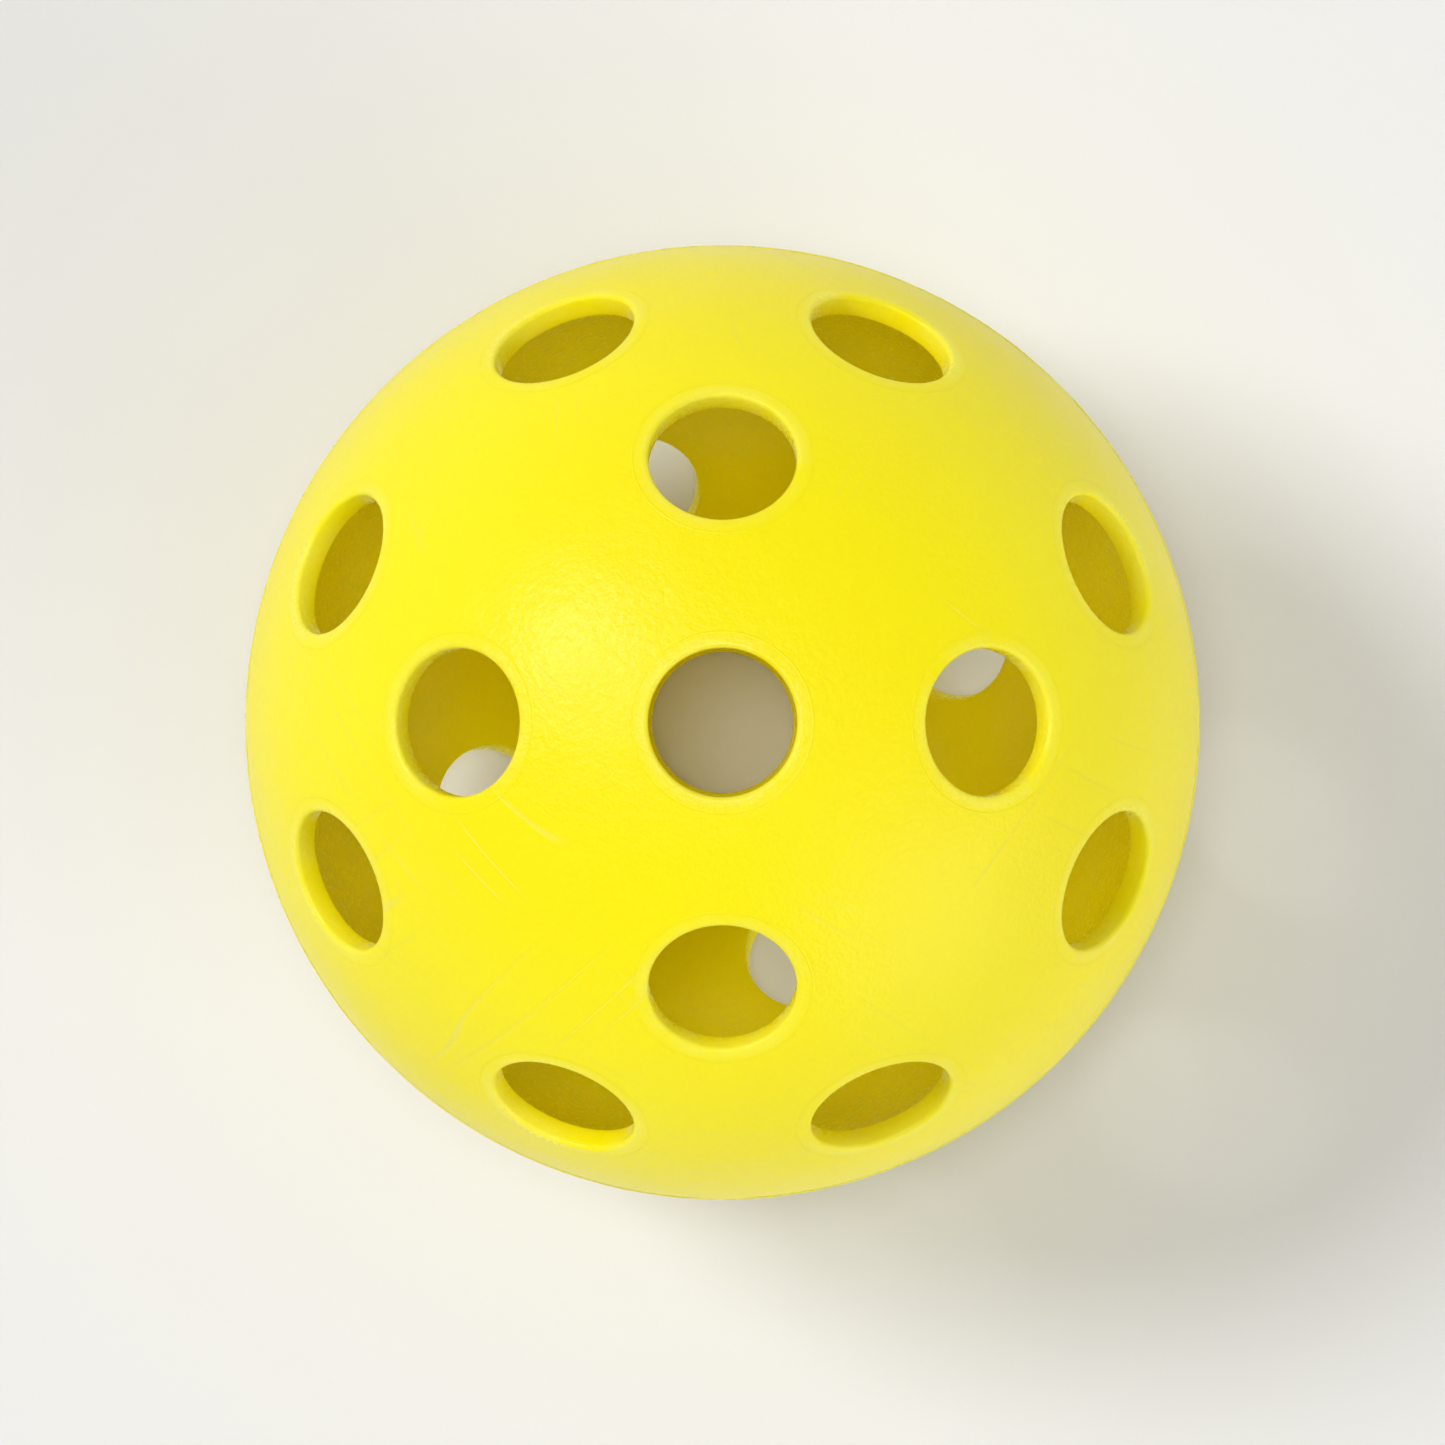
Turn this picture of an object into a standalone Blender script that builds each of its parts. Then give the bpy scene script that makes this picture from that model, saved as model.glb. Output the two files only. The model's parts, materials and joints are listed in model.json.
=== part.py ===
"""A 26-hole pickleball ball: two identical moulded half shells, butt-welded rim to rim.

The ball's centre is the origin. The Z axis runs through the middle hole of each half, so the weld
lies level at Z = 0 and the ball stands on the rim of its lowest hole. Metres, +Z up.
"""

import math

import bmesh
import bpy
from mathutils import Matrix, Vector

# Driving dimensions
BALL_DIAMETER = 0.0740
WALL = 0.00185
HOLE_DIAMETER = 0.0112
# Rows of holes on one half: (holes, angle from the half's own pole, azimuth of the first), in degrees
HOLE_ROWS = ((1, 0.0, 0.0), (4, 33.5, 0.0), (8, 60.5, 22.5))
HALF_TWIST = 22.5  # turns the lower half so that its holes face the gaps of the upper one

# The weld: a ring of re-set plastic between the rims, rolled over inside the ball
WELD_WIDTH = 0.0008
WELD_PROUD = 0.0001
ROLL_WIDTH = 0.0020
ROLL_DEPTH = 0.0009
CLEARANCE = 0.0003

# Fineness of the round surfaces
SHELL_STEPS = 48
ARC_STEPS = 11
HOLE_SIDES = 24
ROLL_STEPS = 6

RADIUS = BALL_DIAMETER / 2
INNER_RADIUS = RADIUS - WALL
RIM_HEIGHT = WELD_WIDTH / 2 + CLEARANCE
CUTTER_LENGTH = 4 * WALL
POLE_PILOT = 0.5 * HOLE_DIAMETER / 2  # the turned shell's own hole, inside the middle hole
MERGE = 0.00001

YELLOW = (1.0, 0.87, 0.0, 1.0)
WELD_YELLOW = (0.95, 0.80, 0.0, 1.0)


def clear_scene():
    for old in list(bpy.data.objects):
        bpy.data.objects.remove(old)


def plastic(name, colour, roughness):
    """A satin moulded plastic."""
    material = bpy.data.materials.new(name)
    material.use_nodes = True
    shader = material.node_tree.nodes["Principled BSDF"]
    shader.inputs["Base Color"].default_value = colour
    shader.inputs["Roughness"].default_value = roughness
    shader.inputs["Metallic"].default_value = 0.0
    return material


def arc(radius, start, end, steps):
    """Points (distance from the axis, height) along a circle about the centre, angles from the pole."""
    turn = [start + (end - start) * i / steps for i in range(steps + 1)]
    return [(radius * math.sin(a), radius * math.cos(a)) for a in turn]


def shell_profile():
    """Half a wall's section: down the outside from the pole to the rim, and back up the inside."""
    outside = arc(RADIUS, math.asin(POLE_PILOT / RADIUS), math.acos(RIM_HEIGHT / RADIUS), ARC_STEPS)
    inside = arc(
        INNER_RADIUS,
        math.acos(RIM_HEIGHT / INNER_RADIUS),
        math.asin(POLE_PILOT / INNER_RADIUS),
        ARC_STEPS,
    )
    return outside + inside


def weld_profile():
    """The weld's section: a narrow neck between the rims and a round roll inside the ball."""
    neck, roll = WELD_WIDTH / 2, ROLL_WIDTH / 2
    shoulder = INNER_RADIUS - CLEARANCE
    turn = [math.pi * i / ROLL_STEPS for i in range(ROLL_STEPS + 1)]
    rolled = [(shoulder - ROLL_DEPTH * math.sin(a), -roll * math.cos(a)) for a in turn]
    crown = RADIUS + WELD_PROUD
    return [
        (RADIUS, neck),
        (crown, neck / 2),
        (crown, -neck / 2),
        (RADIUS, -neck),
        (shoulder, -neck),
        *rolled,
        (shoulder, neck),
    ]


def turned(name, profile):
    """A closed section turned once round Z with the Screw modifier."""
    mesh = bpy.data.meshes.new(name)
    points = [(x, 0.0, z) for x, z in profile]
    edges = [(i, (i + 1) % len(points)) for i in range(len(points))]
    mesh.from_pydata(points, edges, [])
    body = bpy.data.objects.new(name, mesh)
    bpy.context.scene.collection.objects.link(body)
    screw = body.modifiers.new("turn", "SCREW")
    screw.steps = screw.render_steps = SHELL_STEPS
    screw.use_merge_vertices = True
    screw.merge_threshold = MERGE
    screw.use_smooth_shade = True
    return body


def hole_directions():
    """Unit vectors from the centre through each hole of one half."""
    for count, from_pole, first in HOLE_ROWS:
        for i in range(count):
            azimuth = math.radians(first + 360 * i / count)
            polar = math.radians(from_pole)
            across = math.sin(polar)
            yield Vector((across * math.cos(azimuth), across * math.sin(azimuth), math.cos(polar)))


def hole_cutter():
    """One round pin for each hole, square to the wall, all in one helper object."""
    shape = bmesh.new()
    for direction in hole_directions():
        turn = direction.to_track_quat("Z", "Y").to_matrix().to_4x4()
        place = Matrix.Translation(direction * (RADIUS - WALL / 2))
        bmesh.ops.create_cone(
            shape,
            cap_ends=True,
            segments=HOLE_SIDES,
            radius1=HOLE_DIAMETER / 2,
            radius2=HOLE_DIAMETER / 2,
            depth=CUTTER_LENGTH,
            matrix=place @ turn,
        )
    mesh = bpy.data.meshes.new("hole_cutter")
    shape.to_mesh(mesh)
    shape.free()
    cutter = bpy.data.objects.new("hole_cutter", mesh)
    bpy.context.scene.collection.objects.link(cutter)
    cutter.hide_render = True
    cutter.display_type = "WIRE"
    return cutter


def finished_mesh(source):
    """The mesh that an object's modifiers give, as a mesh of its own."""
    graph = bpy.context.evaluated_depsgraph_get()
    return bpy.data.meshes.new_from_object(source.evaluated_get(graph))


def half_shell_mesh(material):
    """One half as it leaves the mould: a turned cup with thirteen holes through it."""
    cup = turned("cup", shell_profile())
    holes = cup.modifiers.new("holes", "BOOLEAN")
    holes.operation = "DIFFERENCE"
    holes.object = hole_cutter()
    mesh = finished_mesh(cup)
    bpy.data.objects.remove(cup)
    mesh.name = "half_shell"
    mesh.materials.clear()
    mesh.materials.append(material)
    mesh.shade_smooth()
    mesh.set_sharp_from_angle(angle=math.radians(30))
    return mesh


def half_shell(name, mesh, ball, rotation):
    """One welded half. Both halves come from the same mould, so they share one mesh."""
    half = bpy.data.objects.new(name, mesh)
    bpy.context.scene.collection.objects.link(half)
    half.rotation_euler = rotation
    half.parent = ball
    return half


def weld_bead(material, ball):
    bead = turned("weld_bead", weld_profile())
    bead.data.materials.append(material)
    bead.parent = ball
    return bead


def main():
    clear_scene()
    ball = bpy.data.objects.new("ball", None)
    bpy.context.scene.collection.objects.link(ball)
    half = half_shell_mesh(plastic("moulded_shell", YELLOW, 0.40))
    half_shell("upper_half_shell", half, ball, (0.0, 0.0, 0.0))
    half_shell("lower_half_shell", half, ball, (math.pi, 0.0, math.radians(HALF_TWIST)))
    weld_bead(plastic("weld_plastic", WELD_YELLOW, 0.30), ball)


main()
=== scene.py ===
# %% [markdown]
# # A 26-hole pickleball ball
#
# An indoor pickleball ball is two identical half shells of soft yellow polyethylene. Each one comes out
# of an injection mould with thirteen holes through it, and the two are welded together rim to rim.
# The CAD model settles the size, the holes and the weld with plain faceted solids. This script loads it
# as a fixed frame and builds the fine surface over it: smooth walls, rounded hole edges, the weld's
# uneven bead, and the finish of moulded plastic that has been played with a little.

# %% Load the frame
import json
import math

import bmesh
import bpy
from mathutils import Matrix, Vector


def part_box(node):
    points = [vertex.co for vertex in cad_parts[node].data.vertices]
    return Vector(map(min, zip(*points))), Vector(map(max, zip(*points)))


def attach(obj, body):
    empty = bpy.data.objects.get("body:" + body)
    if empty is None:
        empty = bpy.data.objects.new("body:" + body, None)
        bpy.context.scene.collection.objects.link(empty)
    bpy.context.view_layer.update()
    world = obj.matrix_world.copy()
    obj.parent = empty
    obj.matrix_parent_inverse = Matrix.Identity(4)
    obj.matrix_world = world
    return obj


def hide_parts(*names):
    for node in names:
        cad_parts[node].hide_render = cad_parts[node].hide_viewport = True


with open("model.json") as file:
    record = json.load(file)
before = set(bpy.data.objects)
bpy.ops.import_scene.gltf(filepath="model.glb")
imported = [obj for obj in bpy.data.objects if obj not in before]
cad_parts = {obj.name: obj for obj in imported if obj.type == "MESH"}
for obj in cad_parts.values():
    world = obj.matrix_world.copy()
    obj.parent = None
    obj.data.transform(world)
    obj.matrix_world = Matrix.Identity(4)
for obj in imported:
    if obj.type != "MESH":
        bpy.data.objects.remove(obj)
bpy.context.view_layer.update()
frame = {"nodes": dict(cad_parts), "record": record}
record = frame["record"]
print("CAD nodes:", sorted(frame["nodes"]))

# %% [markdown]
# ## Sizes read from the frame
#
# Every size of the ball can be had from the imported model, so nothing has to be fitted by eye. The weld
# bead's box gives the largest radius, and a half shell's box gives the radius of the ball: the shell
# ends in a flat ring a little above the middle, and the corner of that ring lies on the ball's surface.
# The record states a small box in the middle of each hole's wall. Its distance from the centre is the
# radius half way through the wall, and its direction is the hole's axis. The mount names the height of
# the rim that the ball stands on. That rim lies on the ball's surface too, so its height gives the
# radius of the hole.

# %% Radii, wall and holes
shell_low, shell_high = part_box("upper_half_shell")
RADIUS = math.hypot(shell_high.x, shell_low.z)
BEAD_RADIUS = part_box("weld_bead")[1].x
STANDS_AT = record["mounts"][0]["pos_m"][2]
HOLE_RADIUS = math.sqrt(RADIUS**2 - STANDS_AT**2)


def hole_centres(half):
    """The point half way through the wall in each hole of that half."""
    boxes = [o["box_m"] for o in record["physics"]["openings"] if o["name"].startswith(half)]
    return [(Vector(low) + Vector(high)) / 2 for low, high in boxes]


upper_holes, lower_holes = hole_centres("upper"), hole_centres("lower")
MID_WALL = sum(centre.length for centre in upper_holes) / len(upper_holes)
WALL = 2 * (RADIUS - MID_WALL)
print(f"ball {2000 * RADIUS:.2f} mm, wall {1000 * WALL:.2f} mm, hole {2000 * HOLE_RADIUS:.2f} mm")
print(f"{len(upper_holes)} + {len(lower_holes)} holes")

# %% [markdown]
# ## Node graphs written as Python
#
# The shapes and the finishes are both made with node graphs. A graph built by hand with one line for
# each node and each link is hard to read, so one small class wraps an output socket and gives it
# Python's operators: `height * 0.5 + 1` adds its own Math nodes. A second class wraps the graph, and
# its `node` method adds any other node.


# %% A wire is an output socket that can be calculated with
class Wire:
    """An output socket. Arithmetic on it adds Math nodes, or Vector Math nodes for a vector."""

    def __init__(self, graph, socket):
        self.graph, self.socket = graph, socket

    def __add__(self, other):
        return self.graph.maths("ADD", self, other)

    def __radd__(self, other):
        return self.graph.maths("ADD", other, self)

    def __sub__(self, other):
        return self.graph.maths("SUBTRACT", self, other)

    def __rsub__(self, other):
        return self.graph.maths("SUBTRACT", other, self)

    def __mul__(self, other):
        return self.graph.maths("MULTIPLY", self, other)

    def __rmul__(self, other):
        return self.graph.maths("MULTIPLY", other, self)

    def __truediv__(self, other):
        return self.graph.maths("DIVIDE", self, other)

    def __pow__(self, other):
        return self.graph.maths("POWER", self, other)

    def do(self, operation, *others):
        """Any other operation of the Math or Vector Math node, by its name."""
        return self.graph.maths(operation, self, *others)


# %% A graph adds nodes
def find_socket(sockets, key):
    """A socket by its number, identifier or name, among those that the node's settings leave on."""
    if isinstance(key, int):
        return sockets[key]
    return next(s for s in sockets if s.enabled and key in (s.identifier, s.name))


def is_vector(value):
    if isinstance(value, Wire):
        return value.socket.type == "VECTOR"
    return isinstance(value, tuple)


class Graph:
    """A node tree, for shapes or for materials."""

    def __init__(self, tree):
        self.tree = tree

    def node(self, kind, settings=None, values=None, out=None):
        """Adds a node: its settings first, then a value, a wire or a list of wires for each input."""
        made = self.tree.nodes.new(kind)
        for name, value in (settings or {}).items():
            setattr(made, name, value)
        for key, value in (values or {}).items():
            socket = find_socket(made.inputs, key)
            for one in value if isinstance(value, list) else [value]:
                if isinstance(one, Wire):
                    self.tree.links.new(one.socket, socket)
                else:
                    socket.default_value = one
        if out is None:
            return Wire(self, next((s for s in made.outputs if s.enabled), None))
        return Wire(self, find_socket(made.outputs, out))

    def maths(self, operation, *values):
        """A Math node, or a Vector Math node where a value is a vector."""
        vectors = [v for v in values if is_vector(v)]
        if not vectors:
            return self.node("ShaderNodeMath", {"operation": operation}, dict(enumerate(values)))
        if operation == "MULTIPLY" and len(vectors) == 1:
            factor = values[1] if values[0] is vectors[0] else values[0]
            scaled = {0: vectors[0], "Scale": factor}
            return self.node("ShaderNodeVectorMath", {"operation": "SCALE"}, scaled)
        return self.node("ShaderNodeVectorMath", {"operation": operation}, dict(enumerate(values)))

    def vector(self, x=0.0, y=0.0, z=0.0):
        return self.node("ShaderNodeCombineXYZ", values={"X": x, "Y": y, "Z": z})

    def part(self, vector, axis):
        """The X, Y or Z of a vector."""
        return self.node("ShaderNodeSeparateXYZ", values={"Vector": vector}, out=axis)

    def mix(self, factor, first, second):
        """From first to second, which are numbers, as factor goes from 0 to 1."""
        return first + (second - first) * factor


# %% [markdown]
# A shape graph is a Geometry Nodes tree. It has one geometry going in and one coming out, and a named
# input for each size. `attribute` and `store` read and write a value that each point carries along.


# %% Shape graphs
class ShapeGraph(Graph):
    """A Geometry Nodes tree with named inputs, in self.given as wires."""

    def __init__(self, name, inputs):
        super().__init__(bpy.data.node_groups.new(name, "GeometryNodeTree"))
        sockets = self.tree.interface
        sockets.new_socket("Geometry", in_out="INPUT", socket_type="NodeSocketGeometry")
        sockets.new_socket("Geometry", in_out="OUTPUT", socket_type="NodeSocketGeometry")
        for title, kind in inputs.items():
            sockets.new_socket(title, in_out="INPUT", socket_type="NodeSocket" + kind)
        entry = self.tree.nodes.new("NodeGroupInput")
        self.given = {s.name: Wire(self, s) for s in entry.outputs if s.name}
        self.position = self.node("GeometryNodeInputPosition")

    def attribute(self, name, kind="FLOAT"):
        return self.node("GeometryNodeInputNamedAttribute", {"data_type": kind}, {"Name": name})

    def store(self, geometry, name, value, kind="FLOAT"):
        """Writes the value to each point under that name."""
        return self.node(
            "GeometryNodeStoreNamedAttribute",
            {"data_type": kind, "domain": "POINT"},
            {"Geometry": geometry, "Name": name, "Value": value},
        )

    def place(self, geometry, position):
        values = {"Geometry": geometry, "Position": position}
        return self.node("GeometryNodeSetPosition", values=values)

    def delete_faces(self, geometry, chosen):
        values = {"Geometry": geometry, "Selection": chosen}
        return self.node("GeometryNodeDeleteGeometry", {"domain": "FACE"}, values)

    def end(self, geometry, material):
        """Ends the tree: real faces, smooth, with their material."""
        smooth = self.node("GeometryNodeSetShadeSmooth", values={"Geometry": geometry})
        real = self.node("GeometryNodeRealizeInstances", values={"Geometry": smooth})
        values = {"Geometry": real, "Material": material}
        painted = self.node("GeometryNodeSetMaterial", values=values)
        self.tree.links.new(painted.socket, self.tree.nodes.new("NodeGroupOutput").inputs[0])
        return self.tree


def run_shape(name, start, tree, values):
    """Puts the start mesh through a tree with these input values, and gives a plain mesh."""
    worker = bpy.data.objects.new(name, start)
    bpy.context.scene.collection.objects.link(worker)
    modifier = worker.modifiers.new(tree.name, "NODES")
    modifier.node_group = tree
    for item in tree.interface.items_tree:
        if item.in_out == "INPUT" and item.name in values:
            modifier[item.identifier] = values[item.name]
    evaluated = bpy.context.evaluated_depsgraph_get()
    mesh = bpy.data.meshes.new_from_object(
        worker.evaluated_get(evaluated), preserve_all_data_layers=True, depsgraph=evaluated
    )
    bpy.data.objects.remove(worker)
    mesh.name = name
    return mesh


# %% [markdown]
# ## The half shell
#
# On the real ball this is one moulding: a thin cup with a smooth outside, a smooth inside and thirteen
# round holes, whose edges have a small radius because the mould could not fill a sharp corner.
#
# A cup cut with a Boolean would leave long thin faces round each hole, which shade badly and can't be
# rounded. The surface is made the other way round instead, starting from the holes. A convex hull over
# the hole centres is a polyhedron with one corner at each hole, and its dual mesh has one *face* at
# each hole: thirteen cells that share their borders. Each cell's border is then swept inwards along
# the wall's own section: over the outside to the hole, round the edge, down the bore, round the inner
# edge, and back along the inside. Every point's place comes from a formula, so the walls are exactly
# round, and neighbouring cells meet point for point and can be merged.

# %% Cells, one for each hole
SHELL_INPUTS = {
    "Radius": "Float",
    "Wall": "Float",
    "Hole Radius": "Float",
    "Outer Edge": "Float",
    "Inner Edge": "Float",
    "Rim Height": "Float",
    "Rim Dip": "Float",
    "Border Cuts": "Int",
    "Skin Steps": "Int",
    "Edge Steps": "Int",
    "Material": "Material",
}
FLAT = 1e-4  # a border point of the unit sphere this near the middle plane lies on the rim


def cell_borders(g):
    """One closed curve round each hole of the half above the middle, on the unit sphere."""
    holes = g.given["Geometry"]
    mirrored = g.node("GeometryNodeTransform", values={"Geometry": holes, "Scale": (1, 1, -1)})
    both = g.node("GeometryNodeJoinGeometry", values={"Geometry": [holes, mirrored]})
    hull = g.node("GeometryNodeConvexHull", values={"Geometry": both})
    hull = g.store(hull, "hole_axis", g.position.do("NORMALIZE"), "FLOAT_VECTOR")
    cells = g.node("GeometryNodeDualMesh", values={"Mesh": hull})
    axis = g.attribute("hole_axis", "FLOAT_VECTOR")
    other_half = axis.do("DOT_PRODUCT", (0, 0, 1)).do("LESS_THAN", 0.0)
    cells = g.delete_faces(cells, other_half)
    cells = g.node("GeometryNodeSplitEdges", values={"Mesh": cells})
    cells = g.store(cells, "hole_axis", axis, "FLOAT_VECTOR")
    cells = g.place(cells, g.position.do("NORMALIZE"))
    curves = g.node("GeometryNodeMeshToCurve", values={"Mesh": cells})
    values = {"Curve": curves, "Cuts": g.given["Border Cuts"]}
    curves = g.node("GeometryNodeSubdivideCurve", values=values)
    curves = g.store(curves, "border", g.position.do("NORMALIZE"), "FLOAT_VECTOR")
    height = g.part(g.position, "Z").do("ABSOLUTE")
    return g.store(curves, "on_rim", height.do("LESS_THAN", FLAT))


# %% [markdown]
# The section of the wall is a closed strip of numbered steps. Counted from the border, the first steps
# cross the skin, the next ones turn round the edge of the hole, and the bore lies between the outer
# set and the inner set. Both sets use one formula, with `outside` as 1 or 0. The steps across the skin
# close up towards the hole, because a wide face beside a tight curve would shade as a halo.


# %% The wall's section, from a cell's border to its hole and back
def section_place(g, outside, along):
    """The point at this step: away from the hole's axis, along it, and how far outside its edge."""
    given = g.given
    skin = (along / given["Skin Steps"]).do("MINIMUM", 1.0)
    turned = ((along - given["Skin Steps"]) / given["Edge Steps"]).do("MAXIMUM", 0.0)
    sign = outside * 2.0 - 1.0
    radius = given["Radius"] - given["Wall"] * (1.0 - outside)
    edge = g.mix(outside, given["Inner Edge"], given["Outer Edge"])

    # The edge's own circle touches the skin from inside the wall, and touches the bore
    centre_away = given["Hole Radius"] + edge
    centre_distance = radius - sign * edge
    centre_along = (centre_distance**2.0 - centre_away**2.0).do("SQRT")
    touches = (centre_away / centre_distance).do("ARCSINE")
    start = touches + (1.0 - outside) * math.pi
    turn = g.mix(turned, start, math.pi / 2 - sign * math.pi)
    edge_away = centre_away + edge * turn.do("SINE")
    edge_along = centre_along + edge * turn.do("COSINE")

    # The skin runs from the border to where that circle touches it
    axis = g.attribute("hole_axis", "FLOAT_VECTOR")
    border = g.attribute("border", "FLOAT_VECTOR")
    on_rim = g.attribute("on_rim")
    sunk = given["Rim Height"] / radius
    level = (1.0 - sunk**2.0).do("SQRT")
    rim = border * g.vector(level, level, 1.0) + g.vector(z=sunk)
    border = border + (rim - border) * on_rim
    angle = border.do("DOT_PRODUCT", axis).do("ARCCOSINE")
    eased = 1.0 - (1.0 - skin) ** 2.0
    polar = g.mix(eased, angle, touches)
    dip = given["Rim Dip"] * on_rim * outside * (1.0 - eased)
    skin_away = (radius - dip) * polar.do("SINE")
    skin_along = (radius - dip) * polar.do("COSINE")

    past_skin = turned.do("GREATER_THAN", 0.0)
    away = g.mix(past_skin, skin_away, edge_away)
    height = g.mix(past_skin, skin_along, edge_along)
    outwards = (border - axis * border.do("DOT_PRODUCT", axis)).do("NORMALIZE")
    return outwards * away + axis * height, (polar - touches) * radius


MERGE = 0.00001  # cells share their border points exactly, so a small distance is enough


def moulded_shell_tree():
    g = ShapeGraph("moulded half shell", SHELL_INPUTS)
    given = g.given
    half_steps = given["Skin Steps"] + given["Edge Steps"]
    last = half_steps * 2.0 + 1.0

    strip = g.node("GeometryNodeCurvePrimitiveLine")
    strip = g.node("GeometryNodeResampleCurve", values={"Curve": strip, "Count": last + 1.0})
    strip = g.node("GeometryNodeSetSplineCyclic", values={"Geometry": strip, "Cyclic": True})
    strip = g.store(strip, "step", g.node("GeometryNodeInputIndex"))
    values = {"Curve": cell_borders(g), "Profile Curve": strip}
    walls = g.node("GeometryNodeCurveToMesh", values=values)

    step = g.attribute("step")
    outside = step.do("LESS_THAN", last / 2.0)
    along = step.do("MINIMUM", last - step)
    place, from_edge = section_place(g, outside, along)
    walls = g.store(walls, "from_edge", from_edge)
    walls = g.store(walls, "inside", 1.0 - outside)
    walls = g.store(walls, "mould_place", place, "FLOAT_VECTOR")
    walls = g.store(walls, "at_border", along.do("LESS_THAN", 0.5))
    walls = g.place(walls, place)

    # The strip is closed, so each border also has a face through the wall. Only the rim keeps its own.
    through = g.attribute("at_border").do("GREATER_THAN", 0.99)
    elsewhere = g.attribute("on_rim").do("LESS_THAN", 0.99)
    walls = g.delete_faces(walls, through * elsewhere)
    values = {"Geometry": walls, "Distance": MERGE}
    return g.end(g.node("GeometryNodeMergeByDistance", values=values), given["Material"])


# %% [markdown]
# The weld leaves the two rims a fixed distance apart, with the bead between them. The CAD solids keep a
# working gap beside the bead; here the rims close up to it.

# %% Make both halves
WELD_WIDTH = 0.0008
OUTER_EDGE, INNER_EDGE = 0.00035, 0.00022  # the radius of a hole's rounded edges
RIM_DIP = 0.00009  # how far the skin draws in beside the weld
BORDER_CUTS, SKIN_STEPS, EDGE_STEPS = 31, 14, 5
SHARP = math.radians(40)


def closed_and_outward(mesh):
    """Turns the faces outwards, marks the sharp corners and says whether the mesh is closed."""
    shape = bmesh.new()
    shape.from_mesh(mesh)
    bmesh.ops.recalc_face_normals(shape, faces=shape.faces)
    volume = shape.calc_volume(signed=True)
    if volume < 0:
        bmesh.ops.reverse_faces(shape, faces=shape.faces)
    loose = sum(not edge.is_manifold for edge in shape.edges)
    shape.to_mesh(mesh)
    shape.free()
    mesh.set_sharp_from_angle(angle=SHARP)
    triangles = sum(len(face.vertices) - 2 for face in mesh.polygons)
    print(f"{mesh.name}: {triangles} triangles, {loose} open edges, {1e6 * abs(volume):.2f} cm3")
    return mesh


def half_shell_mesh(holes, material):
    """One half as it leaves the mould, open side down."""
    start = bpy.data.meshes.new("hole_centres")
    start.from_pydata([tuple(centre) for centre in holes], [], [])
    values = {
        "Radius": RADIUS,
        "Wall": WALL,
        "Hole Radius": HOLE_RADIUS,
        "Outer Edge": OUTER_EDGE,
        "Inner Edge": INNER_EDGE,
        "Rim Height": WELD_WIDTH / 2,
        "Rim Dip": RIM_DIP,
        "Border Cuts": BORDER_CUTS,
        "Skin Steps": SKIN_STEPS,
        "Edge Steps": EDGE_STEPS,
        "Material": material,
    }
    mesh = closed_and_outward(run_shape("half_shell", start, moulded_shell_tree(), values))
    for used in ("hole_axis", "border", "on_rim", "step", "at_border"):
        mesh.attributes.remove(mesh.attributes[used])
    return mesh


def add_piece(name, mesh):
    piece = bpy.data.objects.new(name, mesh)
    bpy.context.scene.collection.objects.link(piece)
    return piece


shell_plastic = bpy.data.materials.new("moulded_yellow")
weld_plastic = bpy.data.materials.new("welded_yellow")
half = half_shell_mesh(upper_holes, shell_plastic)

# %% [markdown]
# Both halves come out of the same mould, so the lower one is the same mesh turned over. The welding
# machine also holds it turned a little about the ball's axis. That angle is read from the frame: one of
# the four inner holes starts at azimuth 0, and the lower half's first inner hole shows how far it went.

# %% Turn a copy over for the lower half
INNER_ROW = (0.01, 0.025)  # the four inner holes lie between these distances from the axis
first = next(c for c in lower_holes if INNER_ROW[0] < c.xy.length < INNER_ROW[1])
twist = math.atan2(first.y, first.x)
turned_over = Matrix.Rotation(twist, 4, "Z") @ Matrix.Rotation(math.pi, 4, "X")
upper_shell = add_piece("upper_shell", half.copy())
half.transform(turned_over)
lower_shell = add_piece("lower_shell", half)
strays = [min((turned_over @ a - b).length for a in upper_holes) for b in lower_holes]
print(f"twist {math.degrees(twist):.1f} degrees, holes within {1000 * max(strays):.3f} mm of the CAD's")

# %% [markdown]
# ## The weld
#
# The rims are melted on a hot plate and pressed together. Some of the melt squeezes out on both sides.
# Outside it stays as a low crown about as wide as a pencil line. Inside nobody trims it, so it rolls
# back on itself into two rounded lips with a groove between them, as every butt weld in polyethylene
# does. The section is drawn once, as a closed outline, and swept round the ball. Neither the pressure
# nor the melt is even, so smooth noise makes the crown and the lips swell and thin as they go round.

# %% The weld's outline
CROWN_SINK = 0.00013  # how far the crown's foot lies under the skin
CROWN_HALF_WIDTH = 0.00050
LIP_RADIUS = 0.00055
LIP_OFFSET = 0.00048  # of a lip's centre, from the middle plane
LIP_DEPTH = 0.00045  # of a lip's centre, from the inner skin
CROWN_POINTS, LIP_POINTS = 16, 18


def weld_outline():
    """Points (away from the axis, up) round the weld's section, closed."""
    foot = RADIUS - CROWN_SINK
    rise = BEAD_RADIUS - foot
    crown = []
    for i in range(CROWN_POINTS + 1):
        turn = math.pi * i / CROWN_POINTS
        crown.append((foot + rise * math.sin(turn), CROWN_HALF_WIDTH * math.cos(turn)))
    centre = RADIUS - WALL - LIP_DEPTH
    meet = math.pi + math.asin(LIP_OFFSET / LIP_RADIUS)
    lip = []
    for i in range(LIP_POINTS + 1):
        turn = meet * i / LIP_POINTS
        lip.append((centre + LIP_RADIUS * math.cos(turn), -LIP_OFFSET - LIP_RADIUS * math.sin(turn)))
    return crown + lip + [(away, -up) for away, up in reversed(lip[:-1])]


outline = weld_outline()
proud = outline[CROWN_POINTS // 2][0] - RADIUS
print(f"weld outline: {len(outline)} points, {1000 * proud:.2f} mm proud")

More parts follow.
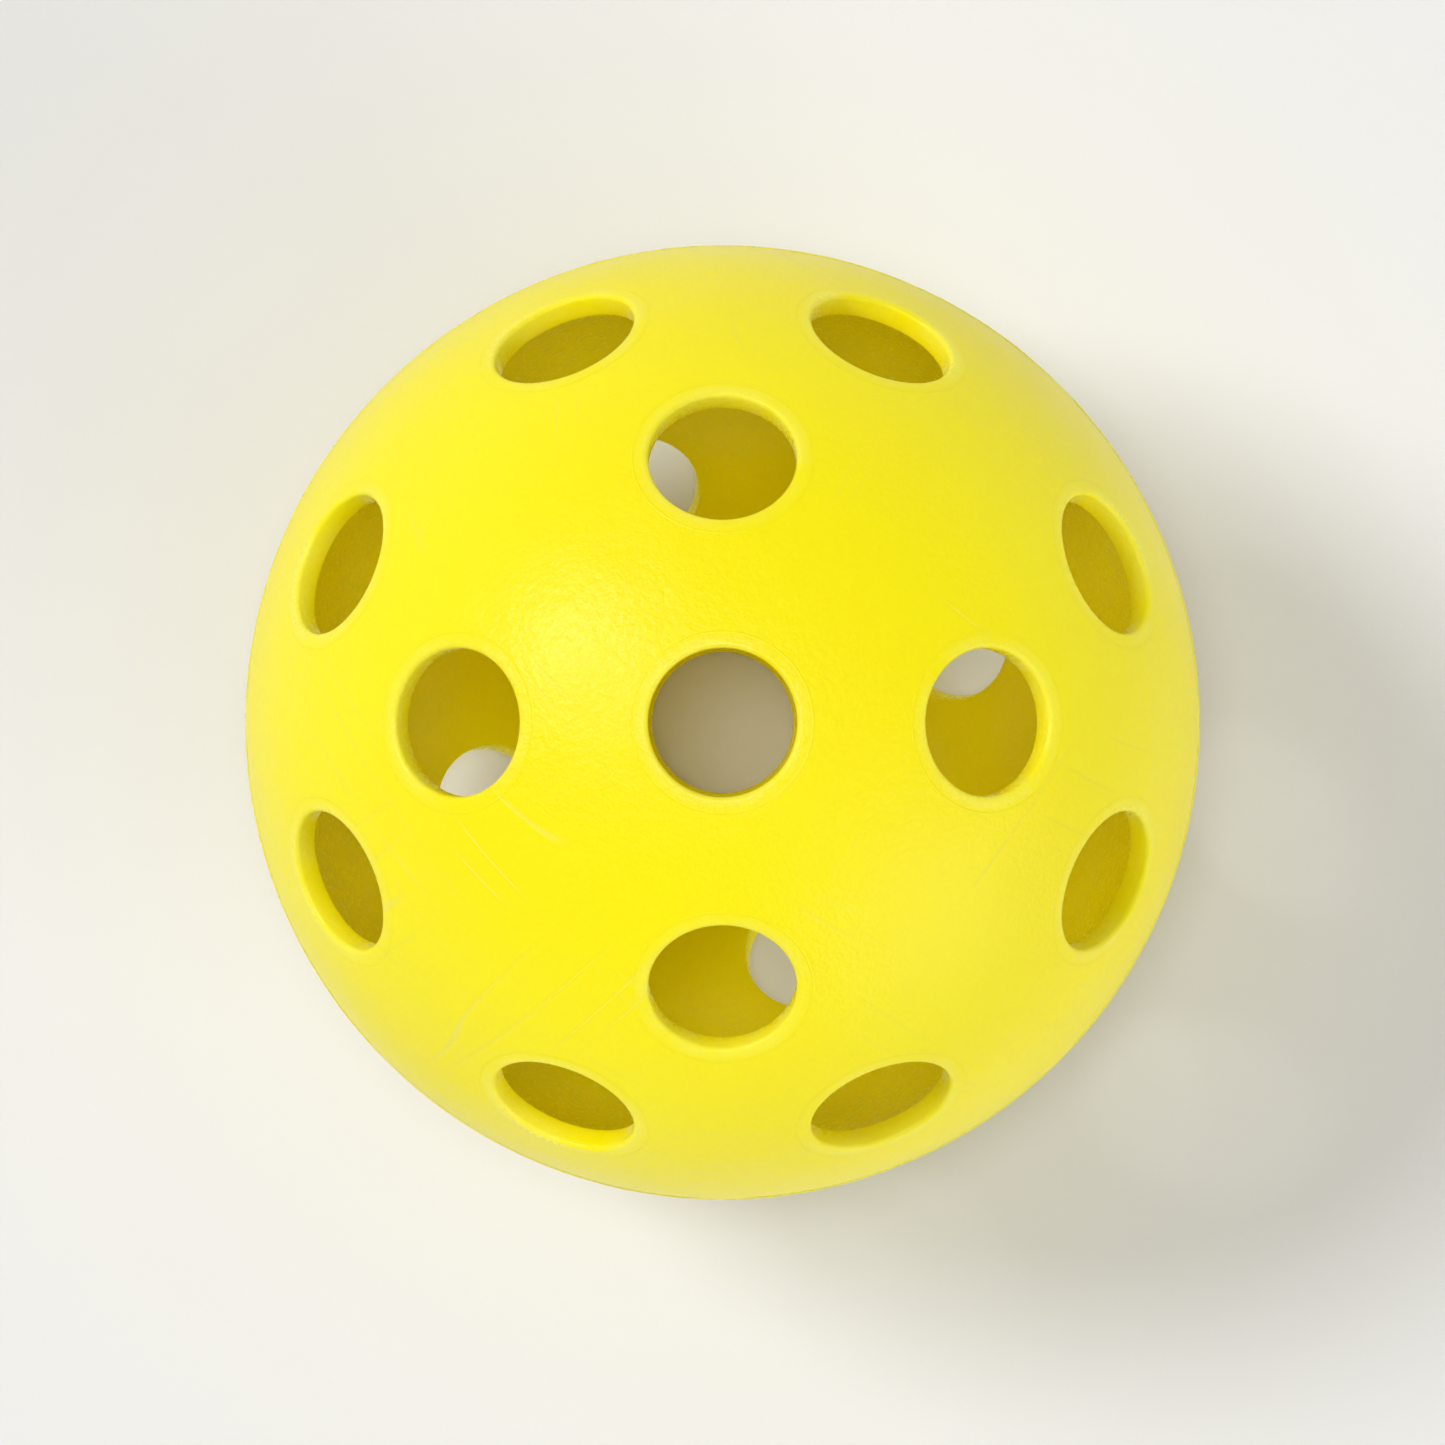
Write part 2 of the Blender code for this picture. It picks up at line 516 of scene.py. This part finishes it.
# %% [markdown]
# The sweep works as it does for the shells: the outline's points and the circle's points carry their
# own places along, and each point of the swept mesh is then put at "so far out, so far up".


# %% Sweep the weld round the ball
WELD_INPUTS = {
    "Radius": "Float",
    "Wall": "Float",
    "Crown Sink": "Float",
    "Crown Unevenness": "Float",
    "Lip Unevenness": "Float",
    "Lumps": "Float",
    "Seed": "Float",
    "Turns": "Int",
    "Material": "Material",
}


def smooth_noise(g, at, scale, seed, detail=1.0):
    """Noise from about -1 to 1. The seed is the fourth coordinate."""
    values = {"Vector": at, "W": seed, "Scale": scale, "Detail": detail, "Roughness": 0.5}
    return g.node("ShaderNodeTexNoise", {"noise_dimensions": "4D"}, values) * 2.0 - 1.0


def weld_tree():
    g = ShapeGraph("butt weld", WELD_INPUTS)
    given = g.given
    section = g.node("GeometryNodeMeshToCurve", values={"Mesh": given["Geometry"]})
    section = g.store(section, "section", g.position, "FLOAT_VECTOR")
    values = {"Resolution": given["Turns"], "Radius": 1.0}
    ring = g.node("GeometryNodeCurvePrimitiveCircle", values=values)
    ring = g.store(ring, "around", g.position, "FLOAT_VECTOR")
    swept = g.node("GeometryNodeCurveToMesh", values={"Curve": ring, "Profile Curve": section})

    section = g.attribute("section", "FLOAT_VECTOR")
    drawn, up = g.part(section, "X"), g.part(section, "Z")
    around = g.attribute("around", "FLOAT_VECTOR")
    on_crown = drawn.do("GREATER_THAN", given["Radius"] - given["Wall"] / 2.0)

    # The width and the lips vary more slowly than the crown's height, each with a seed of its own
    foot = given["Radius"] - given["Crown Sink"]
    level = smooth_noise(g, around, given["Lumps"], given["Seed"], 3.0)
    shrink = 1.0 - given["Crown Unevenness"] * (0.5 + level * 0.5).do("MAXIMUM", 0.0)
    crown_out = foot + (drawn - foot) * shrink
    width = smooth_noise(g, around, given["Lumps"] * 0.6, given["Seed"] + 7.0, 2.0)
    crown_up = up * (1.0 + width * given["Crown Unevenness"] * 0.5)

    lip_side = around + g.vector(z=up.do("SIGN"))
    swell = smooth_noise(g, lip_side, given["Lumps"] * 0.4, given["Seed"] + 13.0, 2.0)
    inner_skin = given["Radius"] - given["Wall"]
    lip_out = inner_skin + (drawn - inner_skin) * (1.0 + swell * given["Lip Unevenness"])
    lip_up = up * (1.0 + swell * given["Lip Unevenness"] * 0.5)

    out = g.mix(on_crown, lip_out, crown_out)
    swept = g.place(swept, around * out + g.vector(z=g.mix(on_crown, lip_up, crown_up)))
    return g.end(swept, given["Material"])


def weld_seam():
    points = [(away, 0.0, up) for away, up in outline]
    edges = [(i, (i + 1) % len(points)) for i in range(len(points))]
    start = bpy.data.meshes.new("weld_outline")
    start.from_pydata(points, edges, [])
    values = {
        "Radius": RADIUS,
        "Wall": WALL,
        "Crown Sink": CROWN_SINK,
        "Crown Unevenness": 0.40,
        "Lip Unevenness": 0.22,
        "Lumps": 14.0,
        "Seed": 4.0,
        "Turns": 720,
        "Material": weld_plastic,
    }
    mesh = closed_and_outward(run_shape("weld_seam", start, weld_tree(), values))
    for used in ("section", "around"):
        mesh.attributes.remove(mesh.attributes[used])
    return add_piece("weld_seam", mesh)


seam = weld_seam()

# %% [markdown]
# ## The finish of moulded polyethylene
#
# The plastic is dyed right through: a clean, strong yellow with no blue in it at all. It is satin, not
# glossy, because the mould was spark-eroded to a fine grain outside; inside, the core was polished.
# Light goes two or three millimetres into it, which softens the shading and makes the thin walls
# glow, so the shader's own subsurface is on. Everything that varies over the surface feeds only
# colour, roughness and the normal.

# %% A finish is a material's graph
class Finish(Graph):
    """A material's tree, ending in a Principled shader with some values settled all over."""

    def __init__(self, material, settled):
        material.use_nodes = True
        super().__init__(material.node_tree)
        self.shader = self.tree.nodes["Principled BSDF"]
        for name, value in settled.items():
            self.shader.inputs[name].default_value = value
        self.place = self.node("ShaderNodeTexCoord", out="Object")

    def noise(self, scale, detail=2.0, at=None):
        """Noise from 0 to 1, with features about 1 / scale metres apart."""
        values = {"Vector": at or self.place, "Scale": scale, "Detail": detail}
        return self.node("ShaderNodeTexNoise", None, values)

    def attribute(self, name, out="Fac"):
        return self.node("ShaderNodeAttribute", {"attribute_name": name}, out=out)

    def ramp(self, value, low, high):
        """From 0 where value is low to 1 where it is high, smoothly."""
        return self.node(
            "ShaderNodeMapRange",
            {"interpolation_type": "SMOOTHSTEP"},
            {"Value": value, "From Min": low, "From Max": high, "To Min": 0.0, "To Max": 1.0},
        )

    def line(self, value, middle, half_width):
        """1 where value is at middle, down to 0 at half_width from it."""
        return 1.0 - self.ramp((value - middle).do("ABSOLUTE"), 0.0, half_width)

    def blend(self, factor, first, second):
        """From the first colour to the second."""
        values = {"Factor": factor, "A": first, "B": second}
        return self.node("ShaderNodeMix", {"data_type": "RGBA"}, values)

    def end(self, colour=None, rough=None, height=None):
        """Links what varies: the colour, the roughness, and a height in metres as a bump."""
        bump = self.node("ShaderNodeBump", values={"Height": height, "Distance": 1.0})
        for wire, name in ((colour, "Base Color"), (rough, "Roughness"), (bump, "Normal")):
            if wire:
                self.tree.links.new(wire.socket, self.shader.inputs[name])


# %% The plastic itself
YELLOW = (1.0, 0.845, 0.0, 1.0)
DEEP_YELLOW = (1.0, 0.78, 0.0, 1.0)
POLYETHYLENE = {
    "Metallic": 0.0,
    "IOR": 1.50,
    "Specular IOR Level": 0.28,
    "Subsurface Weight": 0.50,
    "Subsurface Radius": (0.8, 1.0, 0.12),
    "Subsurface Scale": 0.0030,
}
print("the same all over:", ", ".join(POLYETHYLENE))

# %% [markdown]
# ### What the mould leaves on a shell
#
# The mould prints the same marks on both halves, so they are placed by `mould_place`, the coordinate
# that each point had before the lower half was turned over. Outside there is the spark-eroded grain, in
# pits a quarter and half a millimetre wide, over a faint waviness from shrinkage, and a hair-thin ring
# round each hole where the pin that made it met the mould. Inside, the surface is polished, and four
# round pins that pushed the shell out have each left a shallow disc.

# %% Mould marks
FINE_GRAIN, FINE_GRAIN_HEIGHT = 4200.0, 0.000024  # how many to a metre, and how high in metres
COARSE_GRAIN, COARSE_GRAIN_HEIGHT = 1700.0, 0.000066
WAVES, WAVE_HEIGHT = 210.0, 0.000150
POLISH = 0.8  # how much of the grain the polished inside lacks
RING_AT, RING_HALF_WIDTH, RING_HEIGHT = 0.00085, 0.00012, 0.000030
PIN_RADIUS, PIN_DEPTH, PIN_ANGLE = 0.0020, 0.000040, math.radians(40)


def mould_height(f, inside):
    """The surface's height over the true sphere, in metres, from what the mould printed on it."""
    printed = f.attribute("mould_place", "Vector")
    fine = f.noise(FINE_GRAIN, 2.0, printed) * FINE_GRAIN_HEIGHT
    grain = (fine + f.noise(COARSE_GRAIN, 1.0, printed) * COARSE_GRAIN_HEIGHT) * (1.0 - inside * POLISH)
    waves = f.noise(WAVES, 1.0, printed) * WAVE_HEIGHT
    ring = f.line(f.attribute("from_edge"), RING_AT, RING_HALF_WIDTH) * RING_HEIGHT * (1.0 - inside)

    # One pin stands in each quarter, so folding the quarters together leaves a single place
    inner = RADIUS - WALL
    across = inner * math.sin(PIN_ANGLE) / math.sqrt(2)
    pin = (across, across, inner * math.cos(PIN_ANGLE))
    distance = printed.do("ABSOLUTE").do("DISTANCE", pin)
    pressed = (1.0 - f.ramp(distance, PIN_RADIUS * 0.95, PIN_RADIUS)) * PIN_DEPTH * inside
    return grain + waves + ring - pressed


# %% [markdown]
# ### What play leaves on it
#
# Play marks the outside only, and each half in its own way, so these patterns sit on the object's own
# coordinates. A hair scratch is where noise crosses its middle value. The noise is stretched into flat
# sheets, which cut the ball's surface in long, nearly straight lines, and patches of broader noise
# decide where there are any. Handling dulls some places and polishes others. The rounded edges of the
# holes meet the paddle and the floor first: they are burnished glossier, and in patches their colour is
# painted lighter, partly for that wear and partly as a painted glow of light through the thin edge.

# %% Play marks
SCRATCH_DEPTH = 0.000020
SCRATCH_TURNS = ((0.2, 0.1, 0.9), (0.5, 0.9, -0.4), (-0.7, 0.4, 2.1))  # how each set lies, radians
SCRATCH_SHEET = (0.09, 0.0035, 0.09)  # the size of the stretched noise's features
SCRATCH_HALF_WIDTH = 0.008  # in the noise's value, which is about 0.02 mm
SCRATCH_LEAST = 0.0001
SCRATCH_PATCHES = 70.0  # these four say how many to a metre
WEAR_AND_GLOW_PATCHES = 180.0
HANDLED_PATCHES = 60.0
CLOUDS = 34.0
WEAR_AND_GLOW_WIDTH = 0.0009  # how far the wear reaches from a hole's edge
# The hole edges' lighter colour: partly wear, partly a painted glow of light through the thin edge.
BURNISHED_WITH_GLOW = (1.0, 0.88, 0.10, 1.0)
SCUFFED = (0.92, 0.80, 0.16, 1.0)


def scratches(f):
    """Hair scratches in a few directions, from 0 to 1."""
    sets = []
    for turn in SCRATCH_TURNS:
        values = {"Vector": f.place, "Rotation": turn, "Scale": SCRATCH_SHEET}
        sheets = f.node("ShaderNodeMapping", {"vector_type": "TEXTURE"}, values)

        # Where a sheet lies along the surface its cut would smear, so the line is thinned there
        slant = f.part(sheets, "Y") * SCRATCH_SHEET[1] / RADIUS
        thin = (1.0 - slant * slant).do("MAXIMUM", 0.0).do("SQRT") * SCRATCH_HALF_WIDTH
        lines = f.line(f.noise(1.0, 0.0, sheets), 0.5, thin + SCRATCH_LEAST)
        patch = f.ramp(f.noise(SCRATCH_PATCHES, 1.0, f.place + turn), 0.58, 0.70)
        sets.append(lines * patch)
    return sets[0].do("MAXIMUM", sets[1]).do("MAXIMUM", sets[2])


# %% [markdown]
# The mould's marks and the play marks come together here. The roughness starts from the satin of the
# grain, and each cause then adds its own share: the polish inside and the wear at the hole edges make
# the plastic glossier, scratches make it duller, and handling does either.

# %% Shell plastic
SATIN = 0.38  # the roughness that the spark-eroded grain gives
SPECKS = 2600.0  # how many to a metre


def finish_shell(material):
    f = Finish(material, POLYETHYLENE)
    inside = f.attribute("inside")
    outside = 1.0 - inside
    edge = 1.0 - f.ramp(f.attribute("from_edge"), 0.0, WEAR_AND_GLOW_WIDTH)
    wear_and_glow = edge * outside * f.ramp(f.noise(WEAR_AND_GLOW_PATCHES, 3.0), 0.30, 0.60)
    scratched = scratches(f) * outside
    handled = (f.noise(HANDLED_PATCHES, 3.0) - 0.5) * outside
    clouds = f.ramp(f.noise(CLOUDS, 2.0), 0.30, 0.75)

    colour = f.blend(clouds * 0.45, YELLOW, DEEP_YELLOW)
    # Painted glow: worn hole edges are painted lighter, partly for wear and partly for light through the
    # thin edge.
    colour = f.blend(wear_and_glow * 0.5, colour, BURNISHED_WITH_GLOW)
    colour = f.blend(scratched * 0.5, colour, SCUFFED)
    rough = SATIN - inside * 0.12 + handled * 0.30 + (f.noise(SPECKS) - 0.5) * 0.16
    rough = rough - wear_and_glow * 0.10 + scratched * 0.12
    f.end(colour, rough, mould_height(f, inside) - scratched * SCRATCH_DEPTH)


finish_shell(shell_plastic)
print(f"{shell_plastic.name}: {len(shell_plastic.node_tree.nodes)} nodes")

# %% [markdown]
# ### The weld
#
# The same plastic, but it set in the open air and never touched a mould. It is a little glossier, with
# soft ripples along it in place of the mould's grain, and its colour is lighter: partly the plastic's
# own, and partly a painted glow of light through the thin bead.


# %% Weld plastic
# Lighter than the shell: partly the weld's own colour, partly a painted glow of light through the thin
# bead.
WELD_YELLOW_WITH_GLOW = (1.0, 0.875, 0.03, 1.0)
RIPPLES, RIPPLE_HEIGHT = 800.0, 0.000018  # how many to a metre, and how high in metres
WELD_PATCHES = 120.0


def finish_weld(material):
    f = Finish(material, POLYETHYLENE)
    ripples = f.noise(RIPPLES, 2.0)
    colour = f.blend(f.ramp(f.noise(WELD_PATCHES, 2.0), 0.3, 0.7) * 0.5, WELD_YELLOW_WITH_GLOW, YELLOW)
    f.end(colour, 0.22 + ripples * 0.14, ripples * RIPPLE_HEIGHT)


finish_weld(weld_plastic)
print(f"{weld_plastic.name}: {len(weld_plastic.node_tree.nodes)} nodes")

# %% [markdown]
# ## Put the pieces on the body
#
# Each piece rides on the ball's one body and stands in for the CAD node of the same sub-part, which is
# hidden.

PIECES = (
    (upper_shell, "upper_half_shell", "shell_plastic"),
    (lower_shell, "lower_half_shell", "shell_plastic"),
    (seam, "weld_bead", "weld_plastic"),
)
for piece, node, slot in PIECES:
    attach(piece, "root")
    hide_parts(node)
    print(f"{piece.name} stands for {node}")

# %% [markdown]
# ## Floor, light and camera
#
# The floor is a wide pale disc that the ball stands on. It has no gloss at all, so that it looks the
# same from every side.

# %% The floor
FLOOR_RADIUS = 30.0
FLOOR_WHITE, FLOOR_SHADE = 0.81, 0.80
FLOOR_GRAIN, FLOOR_GRAIN_HEIGHT = 1200.0, 0.00002


def studio_floor():
    mesh = bpy.data.meshes.new("studio_floor")
    shape = bmesh.new()
    bmesh.ops.create_circle(shape, cap_ends=True, radius=FLOOR_RADIUS, segments=128)
    bmesh.ops.translate(shape, verts=shape.verts, vec=(0, 0, STANDS_AT))
    shape.to_mesh(mesh)
    shape.free()
    mesh.materials.append(bpy.data.materials.new("pale_paint"))
    f = Finish(mesh.materials[0], {"Specular IOR Level": 0.0, "Roughness": 0.9})
    tone = f.ramp(f.noise(40.0), 0.0, 1.0)
    white, shade = ((grey, grey, grey, 1.0) for grey in (FLOOR_WHITE, FLOOR_SHADE))
    f.end(f.blend(tone, white, shade), height=f.noise(FLOOR_GRAIN) * FLOOR_GRAIN_HEIGHT)
    return mesh


floor = add_piece("studio_floor", studio_floor())
print(f"floor at height {1000 * STANDS_AT:.2f} mm, {2 * FLOOR_RADIUS:.0f} m across")

# %% [markdown]
# The light is that of a plain product picture. The key is a big soft lamp high on the left, a lower
# and wider one fills from the other side, and a third hangs over the ball, to light what shows through
# the holes. All are suns with a wide disc: the shadow's edge is as soft as a soft box makes it, and the
# floor is lit alike near and far. The sky is grey card above and white card near the horizon, as bright
# there as the lit floor, so that no line shows where the two meet.


# %% Lights
def soft_sun(name, towards, disc_degrees, strength):
    """A sun that shines from that direction, as wide as a soft box would look from the ball."""
    lamp = bpy.data.lights.new(name, "SUN")
    lamp.angle = math.radians(disc_degrees)
    lamp.energy = strength
    sun = bpy.data.objects.new(name, lamp)
    sun.rotation_euler = Vector(towards).to_track_quat("Z", "Y").to_euler()
    bpy.context.scene.collection.objects.link(sun)
    print(f"{name} light: {strength}, {disc_degrees} degrees wide")


KEY_STRENGTH, FILL_STRENGTH, OVERHEAD_STRENGTH = 1.6, 1.0, 0.7
soft_sun("key", (-0.75, 0.35, 1.0), 20, KEY_STRENGTH)
soft_sun("fill", (0.8, -0.7, 0.45), 50, FILL_STRENGTH)
soft_sun("overhead", (-0.03, 0.02, 1.0), 12, OVERHEAD_STRENGTH)

CARD_GREY, CARD_WHITE = 0.30, 0.85
WHITE_BELOW, GREY_ABOVE = 0.12, 0.32  # how far up a direction points where the cards change, 0 to 1
sky = bpy.data.worlds.new("studio_card")
sky.use_nodes = True
cards = Graph(sky.node_tree)
upwards = cards.part(cards.node("ShaderNodeTexCoord", out="Generated"), "Z")
dimming = cards.node(
    "ShaderNodeMapRange",
    {"interpolation_type": "SMOOTHSTEP"},
    {
        "Value": upwards,
        "From Min": WHITE_BELOW,
        "From Max": GREY_ABOVE,
        "To Min": CARD_WHITE,
        "To Max": CARD_GREY,
    },
)
background = sky.node_tree.nodes["Background"]
background.inputs["Color"].default_value = (1.0, 1.0, 1.0, 1.0)
sky.node_tree.links.new(dimming.socket, background.inputs["Strength"])
bpy.context.scene.world = sky
bpy.context.scene.view_settings.view_transform = "Standard"

# %% [markdown]
# The camera looks straight down the axis of the middle hole, so that the holes show as one in the
# middle, four round it and eight near the edge. A long lens keeps the outer holes from being hidden by
# the ball's own curve.

# %% Camera
LENS = 400.0
SENSOR = 36.0
SHARE = 0.66  # of the frame's width that the ball takes

edge_angle = math.atan(SHARE * SENSOR / 2 / LENS)
lens_data = bpy.data.cameras.new("camera")
lens_data.lens = LENS
lens_data.sensor_width = SENSOR
lens_data.clip_end = 60.0
camera = bpy.data.objects.new("camera", lens_data)
camera.location = (0.0, 0.0, RADIUS / math.sin(edge_angle))
bpy.context.scene.collection.objects.link(camera)
bpy.context.scene.camera = camera
print(f"camera {camera.location.z:.3f} m above the ball's centre")
